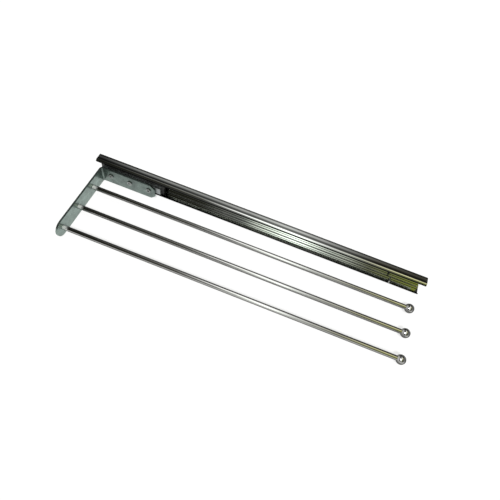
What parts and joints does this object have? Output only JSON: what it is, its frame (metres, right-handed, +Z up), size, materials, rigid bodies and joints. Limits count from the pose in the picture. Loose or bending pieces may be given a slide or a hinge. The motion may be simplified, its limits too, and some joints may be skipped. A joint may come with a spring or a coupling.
{
  "type": "pull-out trouser rack",
  "caption": "Side-mounted pull-out rack: a chrome C-track with a ball carriage, an angle bracket and parallel ball-tipped rods that slide out so that trousers can be hung over them.",
  "frame": {"origin": "The middle of the row of mounting holes, on the back face of the track, which lies against the cabinet side.", "axes": "+X points into the cabinet side that the track is screwed to, so the rods lie on the -X side. The rack pulls out towards -Y. +Z is up."},
  "size_m": [0.1225, 0.45, 0.0305],
  "materials": {
    "chrome_track": "bright chrome on roll-formed steel",
    "stop_steel": "dark steel",
    "cast_zinc": "plain die-cast zinc",
    "buffer_rubber": "matt black rubber",
    "nylon": "black nylon",
    "ball_steel": "polished bearing steel",
    "zinc_plate": "bright zinc-plated steel strip",
    "screw_steel": "zinc-plated steel",
    "chrome_rod": "bright chrome on steel"
  },
  "bodies": {
    "fixed_track": {"track": "chrome_track", "stop_front": "stop_steel", "stop_rear": "stop_steel"},
    "sliding_rack": {"carriage": "cast_zinc", "buffer_front": "buffer_rubber", "buffer_rear": "buffer_rubber", "ball_rail_upper": "nylon", "ball_rail_lower": "nylon", "balls_upper": "ball_steel", "balls_lower": "ball_steel", "bracket": "zinc_plate", "carriage_screws": "screw_steel", "rod_screws": "screw_steel", "rod_washers": "screw_steel", "rod_1": "chrome_rod", "rod_2": "chrome_rod", "rod_3": "chrome_rod", "ball_tip_1": "chrome_rod", "ball_tip_2": "chrome_rod", "ball_tip_3": "chrome_rod"}
  },
  "joints": [
    {"name": "pull_out", "type": "slide", "parent": "fixed_track", "child": "sliding_rack", "axis": [0, -1, 0], "range_m": [0, 0.315]}
  ]
}
